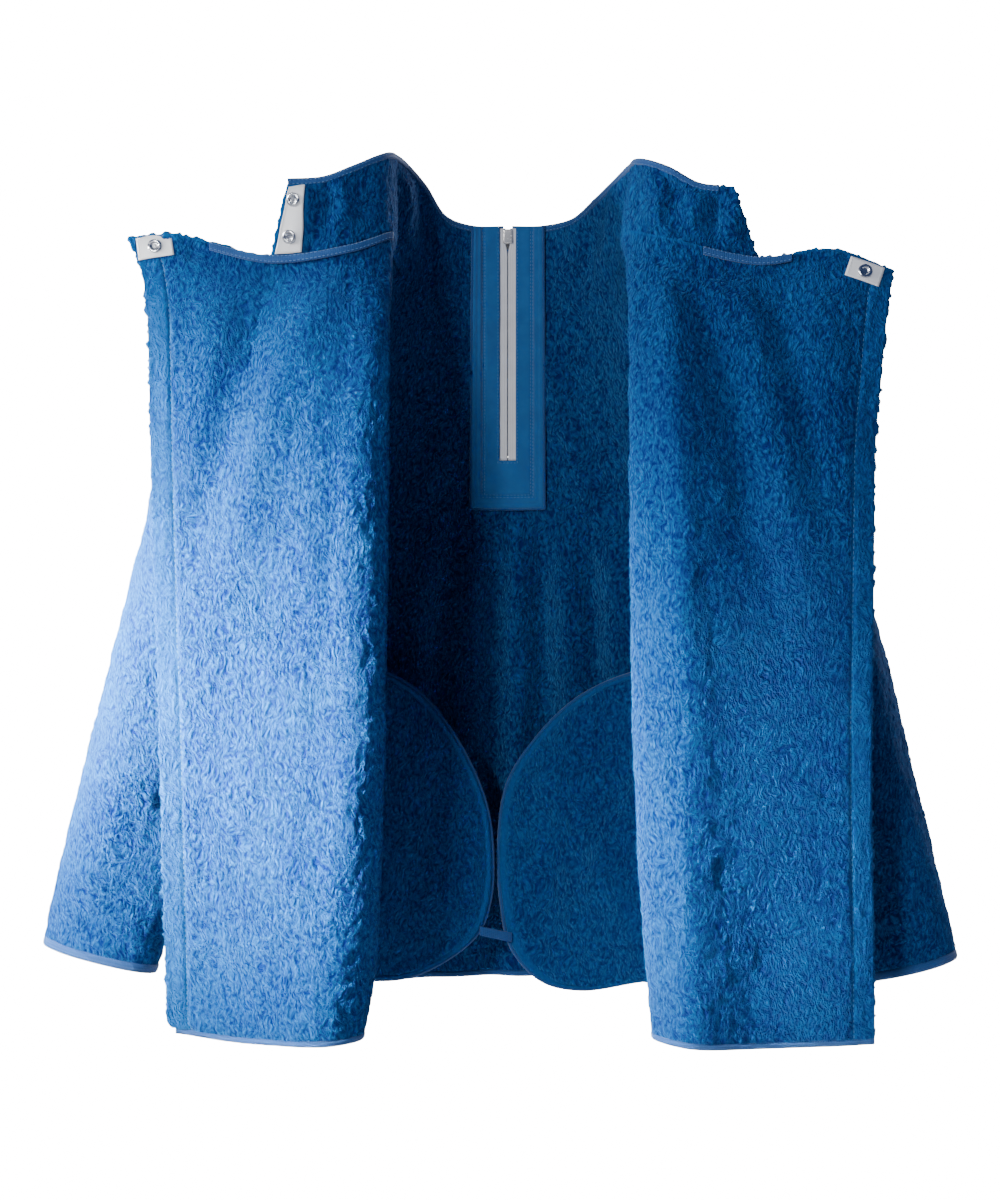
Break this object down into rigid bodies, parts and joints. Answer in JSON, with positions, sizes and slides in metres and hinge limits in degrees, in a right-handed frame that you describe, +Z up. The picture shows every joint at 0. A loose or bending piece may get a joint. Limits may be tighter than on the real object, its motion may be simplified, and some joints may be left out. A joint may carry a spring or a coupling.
{
  "type": "sherpa pullover with open back",
  "caption": "Collared long-sleeved sherpa pullover with a quarter zip and a snap-open back, its back panels folded outwards over the sleeves.",
  "frame": {"origin": "midway between the two side-neck points, where the wearer's shoulders hold the garment up", "axes": "+Z up, +Y towards the wearer's front, so the open back faces -Y, +X towards the wearer's right"},
  "size_m": [0.8325, 0.2717, 0.7774],
  "materials": {
    "sherpa": "long-pile polyester sherpa, curly pile on both faces, matte with a soft sheen",
    "binding": "smooth stretch knit binding, two rows of stitching",
    "facing": "short-pile knit facing, edge stitched",
    "zip_tape": "woven off-white polyester zip tape with a herringbone weave",
    "zip_teeth": "nylon coil",
    "zip_metal": "plated die-cast zinc, lightly worn",
    "snap_tape": "off-white cotton twill, edge stitched",
    "snap_metal": "pressed nickel-plated ring snap"
  },
  "bodies": {
    "garment": {"front": "sherpa", "back_left": "sherpa", "back_right": "sherpa", "sleeve_left": "sherpa", "sleeve_right": "sherpa", "collar_left": "sherpa", "collar_right": "sherpa", "pocket_left_inner": "sherpa", "pocket_left_outer": "sherpa", "pocket_right_inner": "sherpa", "pocket_right_outer": "sherpa", "hem_binding_front": "binding", "hem_binding_left": "binding", "hem_binding_right": "binding", "neck_binding_left": "binding", "neck_binding_right": "binding", "cuff_binding_left": "binding", "cuff_binding_right": "binding", "collar_binding_left": "binding", "collar_binding_right": "binding", "pocket_edge_left": "binding", "pocket_edge_right": "binding", "pocket_stay": "binding", "zip_facing": "facing", "zip_tape_left": "zip_tape", "zip_tape_right": "zip_tape", "zip_chain": "zip_teeth", "zip_slider": "zip_metal", "collar_snap_tape": "snap_tape", "corner_patch_left": "snap_tape", "corner_patch_right": "snap_tape", "snap_collar_upper": "snap_metal", "snap_collar_lower": "snap_metal", "mate_collar_upper": "snap_metal", "mate_collar_lower": "snap_metal", "snap_corner_left": "snap_metal", "snap_corner_right": "snap_metal", "mate_shoulder_left": "snap_metal", "mate_shoulder_right": "snap_metal"},
    "pull_tab": {"zip_pull": "zip_metal"}
  },
  "joints": [
    {"name": "pull_hinge", "type": "hinge", "parent": "garment", "child": "pull_tab", "pos_m": [0, 0.1041, 0.0175], "axis": [1, 0, 0], "range_deg": [0, 150]}
  ]
}
